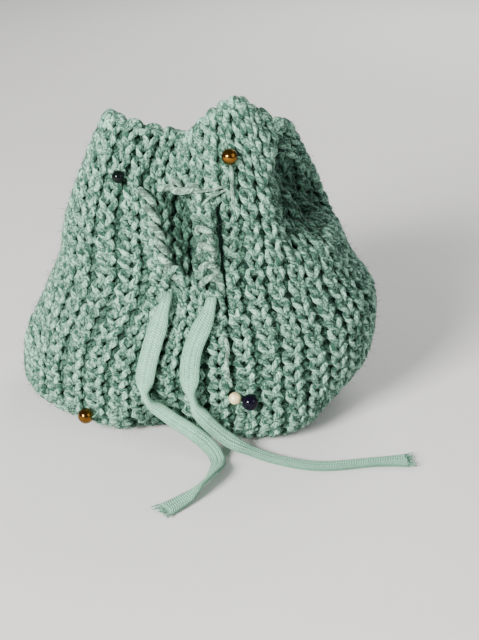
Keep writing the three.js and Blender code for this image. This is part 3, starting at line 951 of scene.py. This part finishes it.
class POUCH_OT_knit_rim(bpy.types.Operator):
    """Cast off the rim: a rounded loop over each knit column, and a chain behind them"""

    bl_idname = "pouch.knit_rim"
    bl_label = "Knit rim"

    STEPS = 24
    # width against the yarn, rows above the last one, swing up, swing across, way in
    CHAINS = ((1.15, 0.02, 0.30, 0.10, 0.0016), (1.0, -0.12, -0.16, -0.12, 0.0031))
    UNEVEN = 0.06
    ROLL = 0.0005

    def execute(self, context):
        settings = context.scene.pouch_knit
        gauge = Gauge(settings.ribs, settings.rows)
        rng = np.random.default_rng(SEED + 3)
        rib = np.arange(settings.ribs * self.STEPS) / self.STEPS
        wave = FULL_TURN * (rib - KNIT_SHARE / 2)
        strands = []
        for width, above, swing, sway, way_in in self.CHAINS:
            uneven = self.UNEVEN * smooth_random(rng, settings.ribs, self.STEPS)
            across = rib + sway * np.sin(2 * wave)
            up = settings.rows + above + swing * np.cos(wave) + uneven
            angle, rise = gauge.angle(across / settings.ribs), gauge.rise(up)
            normal = wall_normal(angle, np.minimum(rise, RIM_RISE))
            points = wall(angle, rise) - (way_in + self.ROLL * np.cos(wave))[:, None] * normal
            strands.append(Strand(points, normal, width * settings.yarn / 2, closed=True))
        yarn_piece("knit_rim", strands, bpy.data.materials["knit_yarn"])
        return {"FINISHED"}


class POUCH_OT_knit_fuzz(bpy.types.Operator):
    """Raise the yarn's short loose fibres"""

    bl_idname = "pouch.knit_fuzz"
    bl_label = "Knit fuzz"

    FIBRES = 9000
    SHORT, LONG = 0.0010, 0.0028
    TAPER = 0.00004 * np.array([1.0, 0.95, 0.8, 0.4])  # half widths from root to tip
    SHOWN = 0.55  # yarn whose painted shade, from its depth, its fold and the valley, is more than this raises none
    ROUND = 1.4  # how far round its yarn a fibre may stand, in radians
    ROOT = 0.9  # of the yarn's radius
    AWAY, SIDEWAYS, BEND = (0.25, 1.0), 0.6, 0.4
    SIDES = 3

    def execute(self, context):
        settings = context.scene.pouch_knit
        rng = np.random.default_rng(SEED + 4)
        rounds = wall_rounds(settings)
        points, outward, radius, bury = (
            np.concatenate([getattr(strand, key) for strand in rounds])
            for key in ("points", "outward", "radius", "bury")
        )
        along_yarn = np.concatenate([strand.tangent() for strand in rounds])
        roots = rng.choice(np.flatnonzero(bury < self.SHOWN), self.FIBRES)
        along_yarn, outward = along_yarn[roots], outward[roots]
        side = unit(np.cross(along_yarn, outward))
        one_each = (self.FIBRES, 1)
        round_yarn = rng.uniform(-self.ROUND, self.ROUND, one_each)
        away = np.cos(round_yarn) * outward + np.sin(round_yarn) * side
        lie = unit(
            rng.uniform(*self.AWAY, one_each) * away
            + rng.uniform(-1, 1, one_each) * along_yarn
            + rng.uniform(-self.SIDEWAYS, self.SIDEWAYS, one_each) * side
        )
        bend = unit(rng.uniform(-1, 1, (self.FIBRES, 3)))
        length = rng.uniform(self.SHORT, self.LONG, one_each)
        start = points[roots] + self.ROOT * radius[roots, None] * away
        count = len(self.TAPER)
        share = np.linspace(0, 1, count)
        runs = np.stack([start + length * (t * lie + self.BEND * t * t * bend) for t in share], axis=1)
        runs[..., 2] = np.maximum(runs[..., 2], self.TAPER[0])
        across = unit(np.cross(lie, bend))
        ways = np.repeat(across[:, None, :], count, axis=1)
        fibres = [Strand(run, way, self.TAPER) for run, way in zip(runs, ways)]
        yarn = bpy.data.materials["knit_yarn"]
        yarn_piece("knit_fuzz", fibres, yarn, sides=self.SIDES, chunk=count)
        return {"FINISHED"}


# Front strands: points across and up the front, with how far each stands off the wall
def on_front(spots):
    """Points and outward ways of a strand laid over the front."""
    points, outward = [], []
    for x, z, off in spots:
        angle, rise = front_spot(x, z)
        normal = wall_normal(angle, rise)
        points.append(wall(angle, rise) + off * normal)
        outward.append(normal)
    return np.array(points), np.array(outward)


def smoothed(points, count):
    """A smooth run of evenly counted points through given ones."""
    points = np.asarray(points)
    extended = run_on(points)
    place = np.linspace(0, len(points) - 1, count)
    k = np.minimum(place.astype(int), len(points) - 2)
    t = (place - k)[:, None]
    a, b, c, d = (extended[k + n] for n in range(4))
    square = (2 * a - 5 * b + 4 * c - d) * t**2
    cube = (3 * b - a - 3 * c + d) * t**3
    return 0.5 * (2 * b + (c - a) * t + square + cube)


def front_strand(spots, radius, count, taper):
    """A strand laid over the front, thinner at its ends."""
    points, outward = on_front(spots)
    ends = np.abs(np.linspace(-1, 1, count)) ** 4
    radii = radius * (1 - (1 - taper) * ends)
    return Strand(smoothed(points, count), unit(smoothed(outward, count)), radii)


# Drawn-up stitches beside the tapes: top and foot of the column, how many, width against the yarn,
# and one stitch's points across, up and off the wall
WALES = (
    (
        (-0.0158, 0.0770), (-0.0066, 0.0510), 6, 1.1,
        (
            (-0.0034, 0.0028, -0.0026), (-0.0014, 0.0013, -0.0009),
            (0.0012, -0.0008, -0.0009), (0.0032, -0.0028, -0.0026),
        ),
    ),
    (
        (0.0018, 0.0683), (0.0046, 0.0478), 4, 1.05,
        (
            (-0.0038, -0.0036, -0.0026), (-0.0032, 0.0004, -0.0013), (0.0, 0.0022, -0.0008),
            (0.0028, 0.0006, -0.0013), (0.0030, -0.0036, -0.0026),
        ),
    ),
)
# Half width of each loose strand of yarn and its points
STRANDS = (
    (
        0.00105,
        (-0.0096, 0.0500, -0.0004), (-0.0090, 0.0542, 0.0006), (-0.0073, 0.0556, 0.0008),
        (-0.0054, 0.0540, 0.0006), (-0.0044, 0.0500, -0.0010),
    ),
    (
        0.00105,
        (0.0008, 0.0452, -0.0006), (0.0020, 0.0478, 0.0014), (0.0044, 0.0490, 0.0024),
        (0.0066, 0.0474, 0.0012), (0.0076, 0.0446, -0.0008),
    ),
)
# The same of the pale strand across the valley and the thin pale threads
THREADS = (
    (
        0.00120,
        (-0.0118, 0.0768, -0.0012), (-0.0080, 0.0772, 0.0012), (-0.0051, 0.0775, 0.0024),
        (-0.0021, 0.0775, 0.0020), (0.0018, 0.0785, -0.0010),
    ),
    (
        0.00095,
        (-0.0077, 0.0772, 0.0006), (-0.0066, 0.0790, 0.0014),
        (-0.0050, 0.0791, 0.0014), (-0.0038, 0.0774, 0.0010),
    ),
    (
        0.00090,
        (-0.0027, 0.0773, 0.0008), (-0.0018, 0.0785, 0.0014),
        (0.0, 0.0786, 0.0012), (0.0010, 0.0775, 0.0004),
    ),
    (
        0.00048,
        (-0.0021, 0.0760, -0.0008), (0.0018, 0.0774, 0.0012),
        (0.0056, 0.0787, 0.0008), (0.0096, 0.0803, -0.0008),
    ),
    (
        0.00042,
        (0.0002, 0.0738, -0.0010), (0.0032, 0.0757, 0.0008),
        (0.0064, 0.0775, 0.0008), (0.0097, 0.0795, -0.0008),
    ),
    (
        0.00062,
        (0.0101, 0.0865, -0.0008), (0.0104, 0.0830, 0.0004),
        (0.0105, 0.0780, 0.0004), (0.0107, 0.0725, -0.0010),
    ),
    (
        0.00075,
        (0.0078, 0.0380, -0.0010), (0.0090, 0.0335, 0.0004),
        (0.0087, 0.0280, 0.0003), (0.0102, 0.0215, -0.0010),
    ),
)


class POUCH_OT_front_strands(bpy.types.Operator):
    """Lay the drawn-up stitches and loose strands over the front"""

    bl_idname = "pouch.front_strands"
    bl_label = "Front strands"

    STITCH_POINTS, STITCH_TAPER = 16, 0.55
    LOOSE_POINTS, LOOSE_TAPER = 20, 0.8
    PALE_DARK = 0.20  # the pale yarn's dark fibres against its light ones

    def execute(self, context):
        settings = context.scene.pouch_knit
        # A lighter copy of the knit yarn: painted light on the drawn-up stitches, which are the wall's
        # own yarn, and the own colour of the pale strand and threads
        pale = yarn_material("pale_yarn", tuple(settings.strand), shade(settings.strand, self.PALE_DARK))
        wales = []
        for top, foot, count, width, stitch in WALES:
            for k in range(count):
                share = (k + 0.5) / count
                x, z = (a + (b - a) * share for a, b in zip(top, foot))
                spots = [(x + across, z + up, off) for across, up, off in stitch]
                radius = width * settings.yarn / 2
                wales.append(front_strand(spots, radius, self.STITCH_POINTS, self.STITCH_TAPER))
        loose, threads = (
            [front_strand(spots, radius, self.LOOSE_POINTS, self.LOOSE_TAPER) for radius, *spots in rows]
            for rows in (STRANDS, THREADS)
        )
        yarn_piece("front_wales", wales, pale)
        yarn_piece("loose_strands", loose, bpy.data.materials["knit_yarn"])
        yarn_piece("thin_threads", threads, pale)
        return {"FINISHED"}


# Tape
TAPE_STEPS = 170
TAPE_FINE = 40  # steps of the route between two of its points, before they are evened out
TAPE_ROUND = 28
TAPE_EDGE, TAPE_FACE = 0.6, 0.75  # powers that square off the tape's section
TAPE_CORDS, TAPE_CORD_RISE = 3.5, 0.10  # ridges along the tape's face
GATHER_IN = 0.45  # share of its width that a tape loses in its slit
GATHER_RUN = 0.009  # length in which it opens out
PINCH_IN = 0.38  # the same at its twist
PINCH_RUN = 0.0038
WAVER, WAVER_RUN = 0.00015, 0.0041  # unevenness of its edges
FLARE_RUN = 0.005
DRAWN_IN = 0.20  # share of its width that a tape loses below its twist
DRAWN_RUN = 0.008


def tape_route(rows):
    """Evenly spaced points of a tape's route, and the way its flat face is turned at each."""
    points = np.array([row[:3] for row in rows])
    faces = np.array([FACES[row[3]] for row in rows], float)
    extended = run_on(points)
    gaps = np.linalg.norm(np.diff(extended, axis=0), axis=1) ** 0.5
    fine = np.linspace(0, len(points) - 1, TAPE_FINE * len(points))
    k = np.minimum(fine.astype(int), len(points) - 2)
    t = (fine - k)[:, None]
    a, b, c, d = (extended[k + n] for n in range(4))
    before, here, after = (gaps[k + n][:, None] for n in range(3))
    leave = ((b - a) / before - (c - a) / (before + here) + (c - b) / here) * here
    reach = ((c - b) / here - (d - b) / (here + after) + (d - c) / after) * here
    square = (3 * (c - b) - 2 * leave - reach) * t**2
    cube = (2 * (b - c) + leave + reach) * t**3
    curve = b + leave * t + square + cube
    turned = faces[k] * (1 - t) + faces[k + 1] * t
    length = run_length(curve)
    even = np.linspace(0, length[-1], TAPE_STEPS)
    centres, ways = (
        np.stack([np.interp(even, length, column) for column in values.T], axis=1)
        for values in (curve, turned)
    )
    return centres, unit(ways), even


def tape_mesh(name, centres, faces, length, widths, thicks):
    """A flat tube along a route, its ends closed, with a map across and along it."""
    tangent = unit(np.gradient(centres, axis=0))
    face = unit(faces - (faces * tangent).sum(axis=1, keepdims=True) * tangent)
    side = np.cross(face, tangent)
    shape = bmesh.new()
    bmesh.ops.create_grid(shape, x_segments=TAPE_ROUND, y_segments=len(centres) - 1, size=0.5)
    uv = shape.loops.layers.uv.new("Tape")
    grid = np.array([vertex.co for vertex in shape.verts])
    ring = np.rint((grid[:, 1] + 0.5) * (len(centres) - 1)).astype(int)
    turn = FULL_TURN * (grid[:, 0] + 0.5)
    wide = np.sign(np.cos(turn)) * np.abs(np.cos(turn)) ** TAPE_EDGE
    thick = np.sign(np.sin(turn)) * np.abs(np.sin(turn)) ** TAPE_FACE
    thick = thick * (1 + TAPE_CORD_RISE * np.cos(FULL_TURN * TAPE_CORDS * (wide + 1) / 2))
    points = (
        centres[ring]
        + (wide * widths[ring] / 2)[:, None] * side[ring]
        + (thick * thicks[ring] / 2)[:, None] * face[ring]
    )
    maps = np.stack([grid[:, 0] + 0.5, length[ring] / MM], axis=1)
    for quad in shape.faces:
        for loop in quad.loops:
            loop[uv].uv = maps[loop.vert.index]
    for vertex, point in zip(shape.verts, points):
        vertex.co = point
    bmesh.ops.remove_doubles(shape, verts=shape.verts, dist=0.005 * MM)
    bmesh.ops.holes_fill(shape, edges=[e for e in shape.edges if e.is_boundary], sides=0)
    bmesh.ops.recalc_face_normals(shape, faces=shape.faces)
    return mesh_of(name, shape)


FRAY_THREADS = 34
FRAY_POINTS = 6
FRAY_SIDES = 5
FRAY_SPREAD = 0.45  # how far the outer threads splay, against their run
FRAY_WAVE = 0.0002
FRAY_FLOOR = 0.0003  # height at which the threads come to rest
FRAY_RADII = (0.00020, 0.00010)  # at root and tip


def frayed_end(centre, tangent, side, face, width, rng):
    """Loose threads that spread from a cut end and settle on the floor."""
    strands = []
    run = np.linspace(-0.25, 1, FRAY_POINTS)[:, None]
    for place in np.linspace(-1, 1, FRAY_THREADS):
        start = centre + side * place * width / 2 * 0.95 + face * rng.uniform(-0.0004, 0.0004)
        aside = side * (FRAY_SPREAD * place + rng.uniform(-0.3, 0.3))
        way = unit(tangent + aside + face * rng.uniform(-0.1, 0.35))
        reach = rng.uniform(0.0010, 0.0030)
        points = start + way * reach * run + face * FRAY_WAVE * np.sin(3 * run + rng.uniform(0, 6))
        points[:, 2] = np.maximum(points[:, 2], FRAY_FLOOR)
        outward = np.tile(face, (FRAY_POINTS, 1))
        strands.append(Strand(points, outward, np.linspace(*FRAY_RADII, FRAY_POINTS)))
    return strands


def nearest_length(centres, length, place):
    """Length along a route at its point nearest to a place."""
    return length[np.linalg.norm(centres - place, axis=1).argmin()]


class POUCH_OT_free_tapes(bpy.types.Operator):
    """Lay the two free ends of the drawstring, with their frayed cut ends"""

    bl_idname = "pouch.free_tapes"
    bl_label = "Free tapes"

    def execute(self, context):
        settings = context.scene.pouch_tape
        braid = tape_material(tuple(settings.colour))
        light, dark = shade(settings.colour, 1.15), shade(settings.colour, 0.8)
        thread = yarn_material("tape_thread", light, dark)
        rng = np.random.default_rng(SEED + 2)
        for name, rows in (("tape_left", LEFT_TAPE), ("tape_right", RIGHT_TAPE)):
            centres, faces, length = tape_route(rows)
            turned = [row[:3] for row in rows if row[3] == "twisted"]
            way_out = nearest_length(centres, length, rows[EXIT_POINT][:3])
            twist = np.mean([nearest_length(centres, length, place) for place in turned])
            gather = GATHER_IN * (1 - eased(np.clip((length - way_out) / GATHER_RUN, 0, 1)))
            pinch = PINCH_IN * bell((length - twist) / PINCH_RUN)
            flare = settings.flare * bell((length[-1] - length) / FLARE_RUN)
            drawn = DRAWN_IN * eased(np.clip((length - twist) / DRAWN_RUN, 0, 1))
            waver = WAVER * np.sin(length / WAVER_RUN)
            widths = settings.width * (1 - gather - pinch - drawn) + flare + waver
            thicks = settings.thick * (1 + 0.5 * gather + 0.3 * pinch) + 0.2 * flare
            mesh = tape_mesh(name, centres, faces, length, widths, thicks)
            piece = add_piece(f"{name}_braid", mesh, braid)
            tangent = unit(centres[-1] - centres[-4])
            face = unit(faces[-1])
            side = np.cross(face, tangent)
            strands = frayed_end(centres[-1], tangent, side, face, widths[-1], rng)
            fray = yarn_piece(f"{name}_fray", strands, thread, FRAY_SIDES, FRAY_POINTS - 1)
            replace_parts(piece, name)
        return {"FINISHED"}


class POUCH_OT_neck_tape(bpy.types.Operator):
    """Run the tape round the inside of the waist, from slit to slit"""

    bl_idname = "pouch.neck_tape"
    bl_label = "Neck tape"

    STEPS = 150

    def execute(self, context):
        settings = context.scene.pouch_tape
        start = front_angle(SLIT_X["right"] - SLIT_HALF, 1.0)
        end = front_angle(SLIT_X["left"] + SLIT_HALF, 1.0) + FULL_TURN
        angle = np.linspace(start, end, self.STEPS)
        rise = np.array([rise_at(a, NECK_Z) for a in angle])
        normal = wall_normal(angle, rise)
        inner, outer = NECK_TAPE_DEPTHS
        centres = wall(angle, rise) - (inner + outer) / 2 * normal
        widths = np.full(self.STEPS, NECK_TAPE_WIDTH)
        thicks = np.full(self.STEPS, outer - inner)
        mesh = tape_mesh("neck_tape", centres, normal, run_length(centres), widths, thicks)
        piece = add_piece("neck_tape", mesh, bpy.data.materials["tape_braid"])
        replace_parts(piece, "drawstring_neck")
        return {"FINISHED"}


class POUCH_OT_beads(bpy.types.Operator):
    """Turn the beads, seat them on the knit and thread them"""

    bl_idname = "pouch.beads"
    bl_label = "Beads"

    # Metallic share, roughness and specular level of each finish
    FINISHES = {
        "gold": (1.0, 0.13, 0.5),
        "cream": (0.1, 0.25, 0.5),
        "dark_green": (0.0, 0.06, 0.16),
        "dark_purple": (0.0, 0.06, 0.16),
    }
    PROFILE_STEPS = 18
    ROUND_STEPS = 36
    LIP, LIP_DEPTH = 0.85, 0.94  # of the hole's radius and of the way to it
    # Route of a bead's thread: radii along the hole, radii in, and way on into the knit
    ROUTE = (
        (-1.15, 1.0, 0.0016), (-1.12, 0.6, 0.0), (-0.8, 0.0, 0.0),
        (0.8, 0.0, 0.0), (1.12, 0.6, 0.0), (1.15, 1.0, 0.0016),
    )
    ROUTE_POINTS = 24
    ASKEW = 0.001  # keeps the way out from lying along the thread

    def execute(self, context):
        settings = context.scene.pouch_beads
        finishes = {
            f"bead_{key}": bead_material(f"bead_{key}", tuple(getattr(settings, key)), *values)
            for key, values in self.FINISHES.items()
        }
        threads = []
        for name, (x, rise, size, slot) in BEADS.items():
            angle = front_angle(x, rise)
            normal = wall_normal(angle, rise)
            low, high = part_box(name)
            centre = (Vector(low) + Vector(high)) / 2 - Vector(normal) * BEAD_SEAT
            across = unit(np.cross((0, 0, 1), normal))
            bead = self.turned(size)
            turn = Vector((0, 0, 1)).rotation_difference(Vector(across)).to_matrix().to_4x4()
            bmesh.ops.transform(bead, matrix=Matrix.Translation(centre) @ turn, verts=bead.verts)
            mesh = mesh_of(f"{name}_turned", bead)
            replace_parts(add_piece(f"{name}_turned", mesh, finishes[slot]), name)
            half = size / 2
            route = [
                np.array(centre) + across * half * along_it - normal * (half * into + on)
                for along_it, into, on in self.ROUTE
            ]
            outward = np.tile(normal, (self.ROUTE_POINTS, 1)) + self.ASKEW
            threads.append(Strand(smoothed(route, self.ROUTE_POINTS), outward, settings.thread / 2))
        yarn_piece("bead_threads", threads, bpy.data.materials["tape_thread"])
        return {"FINISHED"}

    def turned(self, size):
        """A round bead turned about its hole, the hole's lips eased."""
        shape = bmesh.new()
        start = math.asin(BEAD_HOLE / size)
        profile = []
        for k in range(self.PROFILE_STEPS + 1):
            angle = start + (math.pi - 2 * start) * k / self.PROFILE_STEPS
            profile.append((math.sin(angle) * size / 2, 0, -math.cos(angle) * size / 2))
        first, last = ((BEAD_HOLE / 2 * self.LIP, 0, profile[n][2] * self.LIP_DEPTH) for n in (0, -1))
        profile = [first, *profile, last]
        verts = [shape.verts.new(point) for point in profile]
        edges = [shape.edges.new(pair) for pair in zip(verts, verts[1:] + verts[:1])]
        bmesh.ops.spin(
            shape,
            geom=verts + edges,
            cent=(0, 0, 0),
            axis=(0, 0, 1),
            angle=FULL_TURN,
            steps=self.ROUND_STEPS,
            use_merge=True,
        )
        bmesh.ops.remove_doubles(shape, verts=shape.verts, dist=0.002 * MM)
        bmesh.ops.recalc_face_normals(shape, faces=shape.faces)
        return shape


class POUCH_OT_declare_cloth(bpy.types.Operator):
    bl_idname = "pouch.declare_cloth"
    bl_label = "Declare cloth"

    GIRTH = 0.33  # round the belly, which is the width of the cloth laid flat
    WITH_IT = ("knit_base", "knit_rim", "knit_fuzz", "front_wales", "loose_strands", "thin_threads")

    def execute(self, context):
        ground = bpy.data.objects["knit_ground"]
        shape = bmesh.new()
        shape.from_mesh(ground.data)
        area = sum(face.calc_area() for face in shape.faces)
        shape.free()
        return {"FINISHED"}


# Stage
FLOOR_HALF = 3.0
WORLD_COLOUR = (0.95, 0.97, 1.0, 1.0)
WORLD_STRENGTH = 0.26
# Place, size, power in watts and colour of each lamp
LAMPS = {
    "key": ((-0.50, -0.68, 0.40), 0.3, 23.0, (1.0, 0.98, 0.95)),
    "fill": ((0.70, -0.45, 0.45), 0.6, 2.5, WHITE),
    "back": ((0.30, 0.75, 0.55), 0.6, 6.0, WHITE),
}


def area_light(name, aim, place, size, power, colour):
    light = bpy.data.lights.new(name, "AREA")
    light.size = size
    light.energy = power
    light.color = colour
    lamp = bpy.data.objects.new(name, light)
    lamp.location = place
    lamp.rotation_euler = (aim - Vector(place)).to_track_quat("-Z", "Y").to_euler()
    bpy.context.scene.collection.objects.link(lamp)


class POUCH_OT_stage(bpy.types.Operator):
    """Set the pale floor, the soft light and the camera"""

    bl_idname = "pouch.stage"
    bl_label = "Stage"

    def execute(self, context):
        scene = context.scene
        settings = scene.pouch_stage
        shape = bmesh.new()
        bmesh.ops.create_grid(shape, x_segments=2, y_segments=2, size=FLOOR_HALF)
        mesh = mesh_of("floor", shape)
        floor = bpy.data.objects.new("floor", mesh)
        scene.collection.objects.link(floor)
        nodes = Nodes("floor_paper")
        grain = nodes.noise(nodes.own_place(), 60.0, 3.0)
        pale = tuple(settings.floor)
        tone = nodes.ramp(grain, ((0.3, shade(pale, 0.98)), (0.7, pale)))
        mesh.materials.append(nodes.finish(tone, Roughness=0.9, Specular_IOR_Level=0.2))

        world = bpy.data.worlds.new("studio")
        world.use_nodes = True
        background = world.node_tree.nodes["Background"]
        background.inputs["Color"].default_value = WORLD_COLOUR
        background.inputs["Strength"].default_value = WORLD_STRENGTH
        scene.world = world
        aim = Vector(settings.aim)
        for name, values in LAMPS.items():
            area_light(name, aim, *values)

        camera = bpy.data.cameras.new("camera")
        camera.lens = settings.lens
        camera.sensor_width = 36.0
        camera.clip_start = 0.01
        holder = bpy.data.objects.new("camera", camera)
        back = Vector((0, -math.cos(settings.elevation), math.sin(settings.elevation)))
        holder.location = aim + back * settings.distance
        holder.rotation_euler = (-back).to_track_quat("-Z", "Y").to_euler()
        scene.collection.objects.link(holder)
        scene.camera = holder
        return {"FINISHED"}


STEPS = (
    POUCH_OT_stage,
    POUCH_OT_free_tapes,
    POUCH_OT_neck_tape,
    POUCH_OT_knit_ground,
    POUCH_OT_knit_wall,
    POUCH_OT_knit_base,
    POUCH_OT_knit_rim,
    POUCH_OT_knit_fuzz,
    POUCH_OT_front_strands,
    POUCH_OT_beads,
    POUCH_OT_declare_cloth,
)
SETTINGS = {
    "pouch_knit": PouchKnitSettings,
    "pouch_tape": PouchTapeSettings,
    "pouch_beads": PouchBeadSettings,
    "pouch_stage": PouchStageSettings,
}


class POUCH_PT_panel(bpy.types.Panel):
    """Lists the settings and steps of the pouch"""

    bl_idname = "POUCH_PT_panel"
    bl_label = "Knitted pouch"
    bl_space_type = "VIEW_3D"
    bl_region_type = "UI"
    bl_category = "Pouch"

    def draw(self, context):
        for group, kind in SETTINGS.items():
            box = self.layout.box()
            for key in kind.__annotations__:
                box.prop(getattr(context.scene, group), key)
        for step in STEPS:
            self.layout.operator(step.bl_idname)


CLASSES = (*SETTINGS.values(), *STEPS, POUCH_PT_panel)


def register():
    for kind in CLASSES:
        bpy.utils.register_class(kind)
    for group, kind in SETTINGS.items():
        setattr(bpy.types.Scene, group, bpy.props.PointerProperty(type=kind))


def unregister():
    for group in SETTINGS:
        delattr(bpy.types.Scene, group)
    for kind in reversed(CLASSES):
        bpy.utils.unregister_class(kind)


def main():
    register()
    for step in STEPS:
        section, operator = step.bl_idname.split(".")
        getattr(getattr(bpy.ops, section), operator)()


if __name__ == "__main__":
    main()
